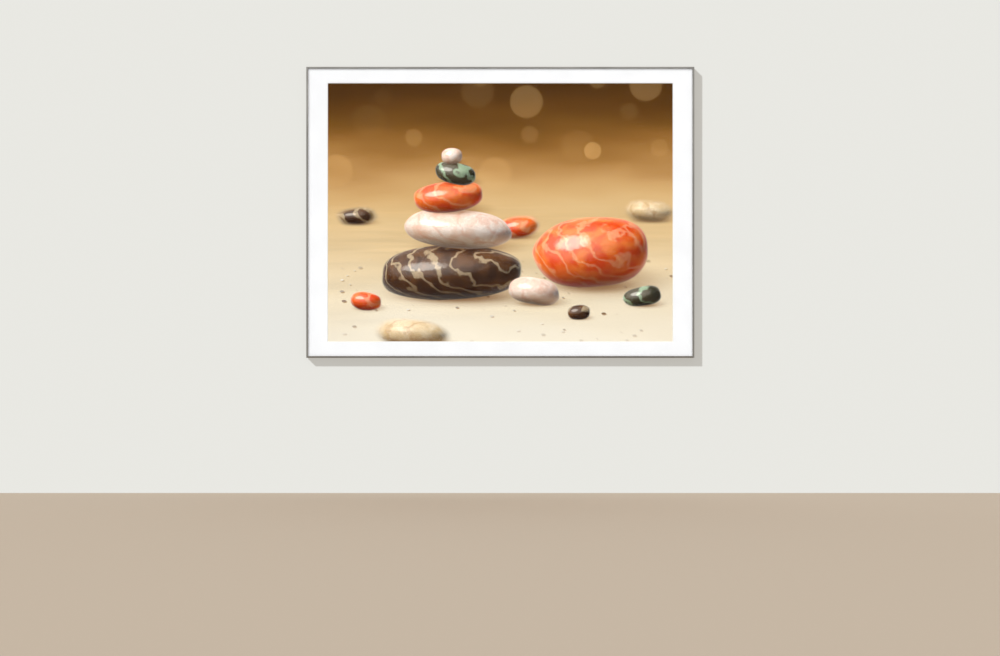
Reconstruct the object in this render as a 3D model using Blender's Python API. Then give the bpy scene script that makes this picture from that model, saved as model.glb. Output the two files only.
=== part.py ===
"""Framed print for a wall: a thin aluminium section frame that holds clear glazing, a window mat, the
print, its mount board and a backing board, with a sawtooth hanger in the middle of the top rail.

Metres, +Z up. The print faces -Y and the wall is the plane y = 0. The origin is the middle of the
hanger's back face, which lies on the wall. An inset is a distance in from the frame's outer edge.
"""

import math

import bmesh
import bpy

# Driving dimensions
WIDTH = 1.016
HEIGHT = 0.762
FACE = 0.0048
SECTION_DEPTH = 0.0206
PICTURE_WIDTH = 0.903
PICTURE_HEIGHT = 0.676

# Clearances
GAP = 0.0003
PACKAGE_PLAY = 0.0005

# The rail's section: a front lip, a groove for the package, and a channel for the hardware behind it
WALL = 0.0015
LIP = 0.0015
WEB = 0.0012
CHANNEL_REACH = 0.0130
CHANNEL_DEPTH = 0.0042
SLOT_WIDTH = 0.0052
OUTER_ROUND = 0.0008
LIP_ROUND = 0.0004
BACK_ROUND = 0.0005

# The package, from the glazing to the back
GLAZING_THICKNESS = 0.0020
MAT_THICKNESS = 0.0014
PRINT_THICKNESS = 0.0005
MOUNT_THICKNESS = 0.0014
BACKING_THICKNESS = 0.0030
PRINT_MARGIN = 0.018

# Hanger: a toothed steel plate, screwed through the channel's slot into a nut bar
HANGER_WIDTH = 0.100
HANGER_HEIGHT = 0.019
HANGER_THICKNESS = 0.0020
HANGER_TOP_INSET = 0.0020
HANGER_CORNER = 0.0030
TOOTH_PITCH = 0.0030
TOOTH_DEPTH = 0.0018
TOOTH_COUNT = 21
HANGER_SCREW_SPREAD = 0.086
NUT_BAR_LENGTH = 0.098
NUT_BAR_THICKNESS = 0.0018

# Screws, each with a driver slot that was left at its own angle, in degrees
M3_RADIUS = 0.0015
HEAD_RADIUS = 0.0028
HEAD_SINK = 0.0001
SET_SCREW_RADIUS = 0.0021
SCREW_CHAMFER = 0.0003
DRIVER_SLOT_WIDTH = 0.0008
DRIVER_SLOT_DEPTH = 0.0009
HANGER_SCREW_TURNS = (20, -34)
SET_SCREW_TURNS = (20, -55)

# Corner plates
CORNER_LEG = 0.046
CORNER_THICKNESS = 0.0018
CORNER_SCREW_INSET = 0.030

# Bowed springs between the backing board and the channel, and where they sit along each rail
SPRING_LENGTH = 0.050
SPRING_THICKNESS = 0.0005
SPRING_INSET = 0.0035
SPRING_WIDTH = 0.0150
SPRING_STEPS = 10
LONG_RAIL_SPRINGS = (-0.380, -0.130, 0.130, 0.380)
SHORT_RAIL_SPRINGS = (-0.250, 0.0, 0.250)

# Bumpers at the foot of the frame
BUMPER_RADIUS = 0.0055
BUMPER_INSET = 0.060
BUMPER_ROUND = 0.0005

# How finely round forms are cut, and the angle above which an edge stays sharp
ARC_STEPS = 4
BACK_ARC_STEPS = 2
TURNED_SIDES = 24
SHARP_ANGLE = math.radians(40)

# Planes and places that follow from the sizes above
TOP = HANGER_TOP_INSET + HANGER_HEIGHT / 2
MIDDLE_Z = TOP - HEIGHT / 2
BACK = -(HANGER_THICKNESS + GAP)
FRONT = BACK - SECTION_DEPTH
CHANNEL_FLOOR = BACK - WEB - CHANNEL_DEPTH
CHANNEL_FRONT = CHANNEL_FLOOR - WEB
CHANNEL_MIDDLE = CHANNEL_REACH / 2
PLATE_BACK = BACK - WEB - GAP
PLATE_EDGE = WALL + GAP
PLATE_WIDTH = CHANNEL_REACH - 2 * PLATE_EDGE
PACKAGE_WIDTH = WIDTH - 2 * (WALL + PACKAGE_PLAY)
PACKAGE_HEIGHT = HEIGHT - 2 * (WALL + PACKAGE_PLAY)

# Each side of the frame: its name, its length, the frame's size across it, and its turn about Y
SIDES = (
    ("bottom", WIDTH, HEIGHT, 0.0),
    ("left", HEIGHT, WIDTH, math.pi / 2),
    ("top", WIDTH, HEIGHT, math.pi),
    ("right", HEIGHT, WIDTH, -math.pi / 2),
)


def clear_scene():
    for obj in list(bpy.data.objects):
        bpy.data.objects.remove(obj)


def finish_material(name, colour, roughness, metallic=0.0):
    """A Principled material with one plain finish; the colour is linear RGB."""
    material = bpy.data.materials.new(name)
    material.use_nodes = True
    shader = material.node_tree.nodes["Principled BSDF"]
    shader.inputs["Base Color"].default_value = (*colour, 1.0)
    shader.inputs["Roughness"].default_value = roughness
    shader.inputs["Metallic"].default_value = metallic
    return material


def mesh_from(bm, name):
    """Closes a bmesh into a mesh with its faces pointing out."""
    bmesh.ops.remove_doubles(bm, verts=bm.verts, dist=1e-6)
    bmesh.ops.recalc_face_normals(bm, faces=bm.faces)
    mesh = bpy.data.meshes.new(name)
    bm.to_mesh(mesh)
    bm.free()
    return mesh


def place(name, mesh, material, location=(0, 0, 0), turn=0.0):
    """One sub-part of the frame: an object for the mesh, turned about Y."""
    mesh.shade_smooth()
    mesh.set_sharp_from_angle(angle=SHARP_ANGLE)
    mesh.materials.clear()
    mesh.materials.append(material)
    obj = bpy.data.objects.new(name, mesh)
    obj.location = location
    obj.rotation_euler = (0, turn, 0)
    bpy.context.scene.collection.objects.link(obj)
    return obj


def cut(mesh, cutters):
    """The mesh with each cutter mesh taken out of it by a Boolean."""
    body = bpy.data.objects.new("body", mesh)
    bpy.context.scene.collection.objects.link(body)
    helpers = []
    for cutter in cutters:
        helper = bpy.data.objects.new("cutter", cutter)
        helper.hide_render = True
        helper.display_type = "WIRE"
        bpy.context.scene.collection.objects.link(helper)
        helpers.append(helper)
        modifier = body.modifiers.new("cut", "BOOLEAN")
        modifier.operation = "DIFFERENCE"
        modifier.solver = "EXACT"
        modifier.object = helper
    graph = bpy.context.evaluated_depsgraph_get()
    result = bpy.data.meshes.new_from_object(body.evaluated_get(graph))
    for used in [body, *helpers]:
        bpy.data.objects.remove(used)
    return result


def arc(centre, radius, start, end, steps=ARC_STEPS):
    """Points round a centre from one angle to another, in degrees, both ends included."""
    angles = [math.radians(start + (end - start) * k / steps) for k in range(steps + 1)]
    return [(centre[0] + radius * math.cos(a), centre[1] + radius * math.sin(a)) for a in angles]


def join_rings(bm, rings):
    """Faces between each ring of points and the next."""
    for ring, following in zip(rings, rings[1:]):
        for k in range(len(ring)):
            after = (k + 1) % len(ring)
            bm.faces.new((ring[k], ring[after], following[after], following[k]))


def box(low, high):
    """A closed box mesh between two corners."""
    bm = bmesh.new()
    bmesh.ops.create_cube(bm, size=1.0)
    for vert in bm.verts:
        for axis in range(3):
            vert.co[axis] = low[axis] if vert.co[axis] < 0 else high[axis]
    return mesh_from(bm, "box")


def turned(profile):
    """A round body about the Y axis, from (radius, y) points that start and end on the axis."""
    bm = bmesh.new()
    verts = [bm.verts.new((radius, y, 0)) for radius, y in profile]
    edges = [bm.edges.new(pair) for pair in zip(verts, verts[1:])]
    bmesh.ops.spin(
        bm,
        geom=verts + edges,
        cent=(0, 0, 0),
        axis=(0, 1, 0),
        angle=2 * math.pi,
        steps=TURNED_SIDES,
        use_merge=True,
    )
    return mesh_from(bm, "turned")


def plate(outline, back, thickness):
    """A flat plate with an outline of (x, z) points, its back face at y = back."""
    bm = bmesh.new()
    rings = [[bm.verts.new((x, y, z)) for x, z in outline] for y in (back - thickness, back)]
    bm.faces.new(rings[0])
    bm.faces.new(rings[1])
    join_rings(bm, rings)
    return mesh_from(bm, "plate")


def moved(mesh, x, z):
    """The mesh shifted in the plane of the wall."""
    for vert in mesh.vertices:
        vert.co.x += x
        vert.co.z += z
    return mesh


def hole_cutter(radius, back, thickness, x, z):
    """A cylinder that cuts a round hole through a plate whose back face is at y = back."""
    far = back + GAP
    near = back - thickness - GAP
    return moved(turned([(0, near), (radius, near), (radius, far), (0, far)]), x, z)


def section_profile():
    """The rail's section as (inset, y) points, once round."""
    slot_start = CHANNEL_MIDDLE - SLOT_WIDTH / 2
    slot_end = CHANNEL_MIDDLE + SLOT_WIDTH / 2
    inner_wall = CHANNEL_REACH - WALL
    front_lip = [
        *arc((OUTER_ROUND, FRONT + OUTER_ROUND), OUTER_ROUND, 180, 270),
        *arc((FACE - LIP_ROUND, FRONT + LIP_ROUND), LIP_ROUND, 270, 360),
        (FACE, FRONT + LIP),
        (WALL, FRONT + LIP),
    ]
    channel_outside = [
        (WALL, CHANNEL_FRONT),
        (CHANNEL_REACH, CHANNEL_FRONT),
        *arc((CHANNEL_REACH - BACK_ROUND, BACK - BACK_ROUND), BACK_ROUND, 0, 90, BACK_ARC_STEPS),
    ]
    channel_inside = [
        (slot_end, BACK),
        (slot_end, BACK - WEB),
        (inner_wall, BACK - WEB),
        (inner_wall, CHANNEL_FLOOR),
        (WALL, CHANNEL_FLOOR),
        (WALL, BACK - WEB),
        (slot_start, BACK - WEB),
        (slot_start, BACK),
    ]
    outer_back = arc((BACK_ROUND, BACK - BACK_ROUND), BACK_ROUND, 90, 180, BACK_ARC_STEPS)
    return front_lip + channel_outside + channel_inside + outer_back


def rail_mesh(length, across):
    """A rail along X for the bottom of a frame, its ends cut at 45 degrees with a gap at the joint."""
    shortening = GAP / 2 * math.sqrt(2)
    bm = bmesh.new()
    rings = []
    for end in (-1, 1):
        ring = []
        for inset, y in section_profile():
            x = end * (length / 2 - inset - shortening)
            ring.append(bm.verts.new((x, y, inset - across / 2)))
        bm.faces.new(ring)
        rings.append(ring)
    join_rings(bm, rings)
    return mesh_from(bm, "rail")


def make_rails(material):
    for side, length, across, turn in SIDES:
        place(f"rail_{side}", rail_mesh(length, across), material, (0, 0, MIDDLE_Z), turn)


def board(width, height, front, thickness):
    return box((-width / 2, front, -height / 2), (width / 2, front + thickness, height / 2))


def rectangle(width, height, y):
    """The four corners of an upright rectangle about the Y axis, in order."""
    signs = ((-1, -1), (1, -1), (1, 1), (-1, 1))
    return [(sx * width / 2, y, sz * height / 2) for sx, sz in signs]


def window_board(front):
    """The mat: a board whose window is cut at 45 degrees, widest at its face."""
    back = front + MAT_THICKNESS
    spread = 2 * MAT_THICKNESS
    outlines = [
        rectangle(PACKAGE_WIDTH, PACKAGE_HEIGHT, front),
        rectangle(PICTURE_WIDTH + spread, PICTURE_HEIGHT + spread, front),
        rectangle(PICTURE_WIDTH, PICTURE_HEIGHT, back),
        rectangle(PACKAGE_WIDTH, PACKAGE_HEIGHT, back),
    ]
    bm = bmesh.new()
    rings = [[bm.verts.new(corner) for corner in outline] for outline in outlines]
    join_rings(bm, [*rings, rings[0]])
    return mesh_from(bm, "mat")


def make_package(acrylic, mat_board, paper, fibreboard):
    """The boards between the front lip and the springs; returns the back face of the last one."""
    whole = (PACKAGE_WIDTH, PACKAGE_HEIGHT)
    sheet = (PICTURE_WIDTH + 2 * PRINT_MARGIN, PICTURE_HEIGHT + 2 * PRINT_MARGIN)
    centre = (0, 0, MIDDLE_Z)
    y = FRONT + LIP + GAP
    place("glazing", board(*whole, y, GLAZING_THICKNESS), acrylic, centre)
    y += GLAZING_THICKNESS + GAP
    place("window_mat", window_board(y), mat_board, centre)
    y += MAT_THICKNESS + GAP
    place("print", board(*sheet, y, PRINT_THICKNESS), paper, centre)
    y += PRINT_THICKNESS + GAP
    place("mount_board", board(*whole, y, MOUNT_THICKNESS), mat_board, centre)
    y += MOUNT_THICKNESS + GAP
    place("backing_board", board(*whole, y, BACKING_THICKNESS), fibreboard, centre)
    return y + BACKING_THICKNESS


def spring_mesh(across, backing_face):
    """A bowed strip for the bottom rail: its belly bears on the backing board, its ends on the channel."""
    belly = backing_face + GAP
    ends = CHANNEL_FRONT - GAP - SPRING_THICKNESS
    low = SPRING_INSET - across / 2
    high = low + SPRING_WIDTH
    bm = bmesh.new()
    stations = []
    for k in range(SPRING_STEPS + 1):
        along = 2 * k / SPRING_STEPS - 1
        x = along * SPRING_LENGTH / 2
        y = belly + (ends - belly) * along**2
        back = y + SPRING_THICKNESS
        corners = ((x, y, low), (x, back, low), (x, back, high), (x, y, high))
        stations.append([bm.verts.new(corner) for corner in corners])
    bm.faces.new(stations[0])
    bm.faces.new(stations[-1])
    join_rings(bm, stations)
    return mesh_from(bm, "spring")


def make_springs(backing_face, material):
    for side, length, across, turn in SIDES:
        mesh = spring_mesh(across, backing_face)
        places = LONG_RAIL_SPRINGS if length == WIDTH else SHORT_RAIL_SPRINGS
        for number, along in enumerate(places, 1):
            # A step along the rail's own X axis, after its turn about Y
            location = (along * math.cos(turn), 0, MIDDLE_Z - along * math.sin(turn))
            place(f"spring_{side}_{number}", mesh, material, location, turn)


def driver_slot(face):
    """The cutter for a screw's slot, along X, in a head whose outer face is at y = face."""
    reach = 2 * HEAD_RADIUS
    half = DRIVER_SLOT_WIDTH / 2
    return box((-reach, face - DRIVER_SLOT_DEPTH, -half), (reach, face + DRIVER_SLOT_DEPTH, half))


def set_screw_mesh():
    """A slotted set screw, from just inside the slot's mouth to just off the channel's floor."""
    outer = BACK - GAP
    inner = CHANNEL_FLOOR + GAP
    rim = SET_SCREW_RADIUS - SCREW_CHAMFER
    profile = [
        (0, outer),
        (rim, outer),
        (SET_SCREW_RADIUS, outer - SCREW_CHAMFER),
        (SET_SCREW_RADIUS, inner + SCREW_CHAMFER),
        (rim, inner),
        (0, inner),
    ]
    return cut(turned(profile), [driver_slot(outer)])


def corner_plate_mesh(right, up):
    """An L plate with a hole in each leg; its legs run towards +X and +Z where right and up are 1."""
    far = PLATE_EDGE + PLATE_WIDTH
    outline = [
        (PLATE_EDGE, PLATE_EDGE),
        (CORNER_LEG, PLATE_EDGE),
        (CORNER_LEG, far),
        (far, far),
        (far, CORNER_LEG),
        (PLATE_EDGE, CORNER_LEG),
    ]
    body = plate([(right * x, up * z) for x, z in outline], PLATE_BACK, CORNER_THICKNESS)
    holes = [
        hole_cutter(SET_SCREW_RADIUS + GAP, PLATE_BACK, CORNER_THICKNESS, right * x, up * z)
        for x, z in ((CORNER_SCREW_INSET, CHANNEL_MIDDLE), (CHANNEL_MIDDLE, CORNER_SCREW_INSET))
    ]
    return cut(body, holes)


def make_corners(material):
    screw = set_screw_mesh()
    flat_turn, upright_turn = SET_SCREW_TURNS
    legs = (
        ("flat", CORNER_SCREW_INSET, CHANNEL_MIDDLE, flat_turn),
        ("upright", CHANNEL_MIDDLE, CORNER_SCREW_INSET, upright_turn),
    )
    for row, up in (("bottom", 1), ("top", -1)):
        for column, right in (("left", 1), ("right", -1)):
            corner = (-right * WIDTH / 2, 0, MIDDLE_Z - up * HEIGHT / 2)
            place(f"corner_plate_{row}_{column}", corner_plate_mesh(right, up), material, corner)
            for leg, x, z, turn in legs:
                location = (corner[0] + right * x, 0, corner[2] + up * z)
                angle = math.radians(right * turn)
                place(f"set_screw_{row}_{column}_{leg}", screw, material, location, angle)


def hanger_outline():
    """The hanger's outline: rounded corners, and a row of teeth along its lower edge."""
    low = -HANGER_HEIGHT / 2
    in_x = HANGER_WIDTH / 2 - HANGER_CORNER
    in_z = HANGER_HEIGHT / 2 - HANGER_CORNER
    first = -TOOTH_COUNT * TOOTH_PITCH / 2
    teeth = []
    for k in range(TOOTH_COUNT):
        teeth.append((first + k * TOOTH_PITCH, low))
        teeth.append((first + (k + 0.5) * TOOTH_PITCH, low + TOOTH_DEPTH))
    teeth.append((-first, low))
    return [
        *arc((-in_x, -in_z), HANGER_CORNER, 180, 270),
        *teeth,
        *arc((in_x, -in_z), HANGER_CORNER, 270, 360),
        *arc((in_x, in_z), HANGER_CORNER, 0, 90),
        *arc((-in_x, in_z), HANGER_CORNER, 90, 180),
    ]


def countersink_cutter(x, z):
    """A countersunk hole through the hanger that stays a gap clear of its screw all round."""
    shank = M3_RADIUS + GAP
    mouth = HEAD_RADIUS + HEAD_SINK + GAP * math.sqrt(2)
    beyond = HANGER_THICKNESS
    profile = [
        (0, -HANGER_THICKNESS - beyond),
        (shank, -HANGER_THICKNESS - beyond),
        (shank, shank - mouth),
        (mouth + beyond, beyond),
        (0, beyond),
    ]
    return moved(turned(profile), x, z)


def hanger_screw_mesh():
    """A slotted countersunk screw, flush in the hanger, that ends inside the channel."""
    face = -HEAD_SINK
    neck = face - (HEAD_RADIUS - M3_RADIUS)
    tip = CHANNEL_FLOOR + GAP
    profile = [
        (0, face),
        (HEAD_RADIUS, face),
        (M3_RADIUS, neck),
        (M3_RADIUS, tip + SCREW_CHAMFER),
        (M3_RADIUS - SCREW_CHAMFER, tip),
        (0, tip),
    ]
    return cut(turned(profile), [driver_slot(face)])


def nut_bar_mesh(screw_spots):
    """The bar inside the channel that the hanger's screws are driven into."""
    half_x = NUT_BAR_LENGTH / 2
    half_z = PLATE_WIDTH / 2
    middle = TOP - CHANNEL_MIDDLE
    low = (-half_x, PLATE_BACK - NUT_BAR_THICKNESS, middle - half_z)
    high = (half_x, PLATE_BACK, middle + half_z)
    holes = [hole_cutter(M3_RADIUS + GAP, PLATE_BACK, NUT_BAR_THICKNESS, x, z) for x, z in screw_spots]
    return cut(box(low, high), holes)


def make_hanger(material):
    spots = [(side * HANGER_SCREW_SPREAD / 2, TOP - CHANNEL_MIDDLE) for side in (-1, 1)]
    hanger = plate(hanger_outline(), 0.0, HANGER_THICKNESS)
    place("hanger", cut(hanger, [countersink_cutter(x, z) for x, z in spots]), material)
    place("nut_bar", nut_bar_mesh(spots), material)
    screw = hanger_screw_mesh()
    for name, (x, z), turn in zip(("left", "right"), spots, HANGER_SCREW_TURNS):
        place(f"hanger_screw_{name}", screw, material, (x, 0, z), math.radians(turn))


def make_bumpers(material):
    """Two soft discs that keep the foot of the frame as far off the wall as the hanger keeps the top."""
    stuck_face = BACK + GAP
    profile = [
        (0, stuck_face),
        (BUMPER_RADIUS, stuck_face),
        (BUMPER_RADIUS, -BUMPER_ROUND),
        (BUMPER_RADIUS - BUMPER_ROUND, 0),
        (0, 0),
    ]
    mesh = turned(profile)
    for name, side in (("left", -1), ("right", 1)):
        location = (side * (WIDTH / 2 - BUMPER_INSET), 0, TOP - HEIGHT + CHANNEL_MIDDLE)
        place(f"bumper_{name}", mesh, material, location)


def main():
    clear_scene()
    anodised = finish_material("anodised_aluminium", (0.22, 0.215, 0.20), 0.45, 1.0)
    acrylic = finish_material("clear_acrylic", (0.95, 0.97, 0.97), 0.05)
    mat_board = finish_material("white_mat_board", (0.90, 0.90, 0.88), 0.9)
    paper = finish_material("printed_paper", (0.55, 0.36, 0.18), 0.6)
    fibreboard = finish_material("brown_fibreboard", (0.24, 0.14, 0.075), 0.85)
    spring_steel = finish_material("spring_steel", (0.42, 0.42, 0.43), 0.35, 1.0)
    zinc_steel = finish_material("zinc_plated_steel", (0.60, 0.60, 0.58), 0.3, 1.0)
    felt = finish_material("grey_felt", (0.10, 0.10, 0.10), 1.0)
    make_rails(anodised)
    backing_face = make_package(acrylic, mat_board, paper, fibreboard)
    make_springs(backing_face, spring_steel)
    make_corners(zinc_steel)
    make_hanger(zinc_steel)
    make_bumpers(felt)


main()
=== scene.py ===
"""Looks of a framed print: a thin aluminium section frame that hangs on a wall, with clear glazing, a white
window mat, a printed picture, and the springs, corner plates, screws, hanger and pads behind it.

Metres, +Z up. The picture faces -Y and the wall is the plane y = 0. An inset is a distance in from the
frame's outer edge.
"""

import math
from functools import partial

import bmesh
import bpy
from mathutils import Euler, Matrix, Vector


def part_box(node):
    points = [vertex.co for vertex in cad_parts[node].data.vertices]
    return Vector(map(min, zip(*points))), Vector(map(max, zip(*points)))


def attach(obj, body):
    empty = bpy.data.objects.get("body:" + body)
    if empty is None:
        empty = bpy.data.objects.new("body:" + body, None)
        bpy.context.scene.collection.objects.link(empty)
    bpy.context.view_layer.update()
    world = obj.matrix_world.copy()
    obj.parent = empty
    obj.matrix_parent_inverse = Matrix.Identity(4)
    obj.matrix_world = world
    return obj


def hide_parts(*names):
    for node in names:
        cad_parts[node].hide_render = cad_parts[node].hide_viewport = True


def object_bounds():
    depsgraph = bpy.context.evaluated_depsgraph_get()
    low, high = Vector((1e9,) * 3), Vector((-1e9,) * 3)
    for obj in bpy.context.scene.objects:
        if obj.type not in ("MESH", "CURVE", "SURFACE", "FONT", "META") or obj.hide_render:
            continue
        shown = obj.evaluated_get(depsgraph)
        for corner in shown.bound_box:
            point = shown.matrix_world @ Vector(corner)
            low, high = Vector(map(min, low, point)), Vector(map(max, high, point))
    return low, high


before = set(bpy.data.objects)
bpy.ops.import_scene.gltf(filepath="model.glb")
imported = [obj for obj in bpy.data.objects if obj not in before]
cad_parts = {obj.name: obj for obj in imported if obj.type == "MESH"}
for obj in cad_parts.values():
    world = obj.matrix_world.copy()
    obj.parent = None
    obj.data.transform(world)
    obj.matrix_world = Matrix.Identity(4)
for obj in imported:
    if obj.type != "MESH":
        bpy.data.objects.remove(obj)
cad_low, cad_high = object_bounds()

# Places read from the frame
WIDTH = cad_high.x - cad_low.x
HEIGHT = cad_high.z - cad_low.z
MIDDLE_Z = (cad_high.z + cad_low.z) / 2
FRONT = cad_low.y
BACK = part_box("rail_bottom")[1].y
SPRING_LOW, SPRING_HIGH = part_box("spring_bottom_1")
PLATE_LOW, PLATE_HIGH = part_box("corner_plate_bottom_left")

# The frame's sides: length, size across to the side opposite, and turn about Y from the bottom rail
SIDES = (
    ("bottom", WIDTH, HEIGHT, 0.0),
    ("left", HEIGHT, WIDTH, math.pi / 2),
    ("top", WIDTH, HEIGHT, math.pi),
    ("right", HEIGHT, WIDTH, -math.pi / 2),
)

# The rail's section
FACE = 0.0048
WALL = 0.0015
LIP = 0.0015
WEB = 0.0012
CHANNEL_REACH = 0.0130
CHANNEL_DEPTH = 0.0042
SLOT_WIDTH = 0.0052
OUTER_ROUND = 0.0008
LIP_ROUND = 0.0004
BACK_ROUND = 0.0005
DIE_ROUND = 0.0002
JOINT_GAP = 0.00006
CHANNEL_FLOOR = BACK - WEB - CHANNEL_DEPTH
CHANNEL_MIDDLE = CHANNEL_REACH / 2

# The window in the mat, and how far the print runs on behind it
PICTURE_WIDTH = 0.903
PICTURE_HEIGHT = 0.676
PRINT_BLEED = 0.004
CUT_ROUND = 0.00012
CUT_ROUND_STEPS = 4

# The printed sheet's texture map: the strip for its back and edges, and the gap between patches
MAP_STRIP = 0.05
MAP_GAP = 0.004
MAP_EDGE_WIDTH = 0.12

# Springs, their place along each rail, and how their tips bend back over the last part of each half
SPRING_THICKNESS = 0.0005
SPRING_CORNER = 0.0035
SPRING_TIP = 0.0007
SPRING_TIP_START = 0.86
SPRING_EDGE = 0.00012
LONG_RAIL_SPRINGS = (-0.380, -0.130, 0.130, 0.380)
SHORT_RAIL_SPRINGS = (-0.250, 0.0, 0.250)

# Screws, with the angle that each driver slot was left at
M3_RADIUS = 0.0015
HEAD_RADIUS = 0.0028
SET_SCREW_RADIUS = 0.0021
SCREW_CHAMFER = 0.0003
SCREW_GAP = 0.0003
SCREW_OVERLAP = 0.0001
DRIVER_SLOT_WIDTH = 0.0008
DRIVER_SLOT_DEPTH = 0.0009
SET_SCREW_PITCH = 0.0007
M3_PITCH = 0.0005
THREAD_DEPTH = 0.00025
SCREW_INSET = 0.030
HANGER_SCREW_TURNS = (20, -34)
SET_SCREW_TURNS = (20, -55)

# Corner plates and hanger
PLATE_INSET = PLATE_LOW.x - cad_low.x
STAMPED_EDGE = 0.0002
HANGER_SCREW_SPREAD = 0.086
HANGER_CORNER = 0.0030
TOOTH_PITCH = 0.0030
TOOTH_DEPTH = 0.0018
TOOTH_COUNT = 21
NOTCH_SHARE = 0.98

# Felt pads
PAD_RADIUS = 0.0055
PAD_TURN = 0.9
PAD_FUZZ = 0.00008
PAD_FIBRE_LENGTH = 0.0008
PAD_FIBRE_RADIUS = 0.00003
PAD_FIBRES_PER_SQUARE_METRE = 4000000.0
PAD_FIBRE_LEAN = 1.1
PAD_SEED = 7

# For cutters, welding and rounding
ROUND_SIDES = 48
CUTTER_LENGTH = 0.01
WELD = 0.000001
SHARP_ANGLE = math.radians(35)
ROUNDED_ANGLE = math.radians(40)

# For materials: the width of a worn edge, and the drawn pitch of the hardboard's screen
WORN_EDGE = 0.0003
SCREEN_PITCH = 0.0045

# The photograph's frame and its scale in the plane of the frame's face
PHOTO_WIDTH = 1000
PHOTO_HEIGHT = 656
PHOTO_FRAME_MIDDLE = (500.3, 212.3)
PHOTO_FLOOR_LINE = 493
PHOTO_FRAME_PIXELS = 388.07
METRES_PER_PIXEL = WIDTH / PHOTO_FRAME_PIXELS
LENS = 85.0
SENSOR = 36.0

# The stage
STAGE_REACH = 9.0
WALL_GAP = 0.0004
KEY_TRAVEL = (1, 1, -1)
WORLD_STRENGTH = 0.45


def kind(node_type, order=(0, 1, 2, 3, 4), out=0, **settings):
    """A kind of node: its type, the inputs that values go to in order, its output, and its settings."""
    return node_type, order, out, settings


KINDS = {
    # For materials
    "place": kind("ShaderNodeTexCoord", out="Object"),
    "rail run": kind("ShaderNodeAttribute", out="Vector", attribute_name="rail_run"),
    "strip run": kind("ShaderNodeAttribute", out="Vector", attribute_name="strip_run"),
    "geometry": kind("ShaderNodeNewGeometry", out=None),
    "rounded normal": kind("ShaderNodeBevel", samples=4),
    "bump": kind("ShaderNodeBump"),
    "clear": kind("ShaderNodeBsdfTransparent"),
    "mirror": kind("ShaderNodeBsdfAnisotropic"),
    "fresnel": kind("ShaderNodeFresnel"),
    "mix shader": kind("ShaderNodeMixShader"),
    "noise": kind("ShaderNodeTexNoise"),
    "noise colour": kind("ShaderNodeTexNoise", out=1),
    "cells": kind("ShaderNodeTexVoronoi", out=None, voronoi_dimensions="2D"),
    "waves": kind("ShaderNodeTexWave", out="Fac", bands_direction="DIAGONAL"),
    "mix": kind("ShaderNodeMix", (0, 6, 7), 2, data_type="RGBA"),
    "ramp": kind("ShaderNodeValToRGB", out=None),
    "separate colour": kind("ShaderNodeSeparateColor", out=None),
    # For places and numbers
    "group input": kind("NodeGroupInput", out=None),
    "group output": kind("NodeGroupOutput", out=None),
    "mapping": kind("ShaderNodeMapping"),
    "within": kind("ShaderNodeMapping", vector_type="TEXTURE"),
    "turned": kind("ShaderNodeVectorRotate", rotation_type="Z_AXIS"),
    "separate": kind("ShaderNodeSeparateXYZ", out=None),
    "combine": kind("ShaderNodeCombineXYZ"),
    "range": kind("ShaderNodeMapRange"),
    "smooth range": kind("ShaderNodeMapRange", interpolation_type="SMOOTHSTEP"),
    "clamp": kind("ShaderNodeClamp"),
    "clamped subtract": kind("ShaderNodeMath", operation="SUBTRACT", use_clamp=True),
    "scale": kind("ShaderNodeVectorMath", (0, "Scale"), operation="SCALE"),
    "dot product": kind("ShaderNodeVectorMath", out="Value", operation="DOT_PRODUCT"),
    "length": kind("ShaderNodeVectorMath", out="Value", operation="LENGTH"),
    "less than": kind("FunctionNodeCompare", operation="LESS_THAN"),
    "random vector": kind("FunctionNodeRandomValue", data_type="FLOAT_VECTOR"),
    # For geometry
    "spline": kind("GeometryNodeSplineParameter", out=None),
    "named number": kind("GeometryNodeInputNamedAttribute", data_type="FLOAT"),
    "store vector": kind("GeometryNodeStoreNamedAttribute", data_type="FLOAT_VECTOR", domain="POINT"),
    "capture": kind("GeometryNodeCaptureAttribute", out=None),
    "fillet": kind("GeometryNodeFilletCurve", mode="POLY"),
    "fill": kind("GeometryNodeFillCurve", mode="NGONS"),
    "scatter": kind("GeometryNodeDistributePointsOnFaces", out=None),
    "instances": kind("GeometryNodeInstanceOnPoints", ("Points", "Instance")),
    "union": kind("GeometryNodeMeshBoolean", (1,), operation="UNION", solver="EXACT"),
    "cut": kind("GeometryNodeMeshBoolean", operation="DIFFERENCE", solver="EXACT"),
}
for word, node_type in {
    "position": "InputPosition",
    "normal": "InputNormal",
    "line": "CurvePrimitiveLine",
    "circle": "CurvePrimitiveCircle",
    "rectangle": "CurvePrimitiveQuadrilateral",
    "spiral": "CurveSpiral",
    "outline": "MeshToCurve",
    "sweep": "CurveToMesh",
    "grid": "MeshGrid",
    "cube": "MeshCube",
    "cone": "MeshCone",
    "cylinder": "MeshCylinder",
    "points in line": "MeshLine",
    "turn instances": "RotateInstances",
    "realize": "RealizeInstances",
    "set position": "SetPosition",
    "transform": "Transform",
    "extrude": "ExtrudeMesh",
    "flip": "FlipFaces",
    "join": "JoinGeometry",
    "weld": "MergeByDistance",
    "set material": "SetMaterial",
}.items():
    KINDS[word] = kind("GeometryNode" + node_type)
for word in (
    "add", "subtract", "multiply", "divide", "multiply add", "power", "sqrt", "sine", "absolute", "maximum",
    "greater than",
):
    KINDS[word] = kind("ShaderNodeMath", operation=word.upper().replace(" ", "_"))
for word in ("add", "subtract", "multiply", "divide", "multiply add", "absolute", "normalize"):
    KINDS["vector " + word] = kind("ShaderNodeVectorMath", operation=word.upper().replace(" ", "_"))


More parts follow.
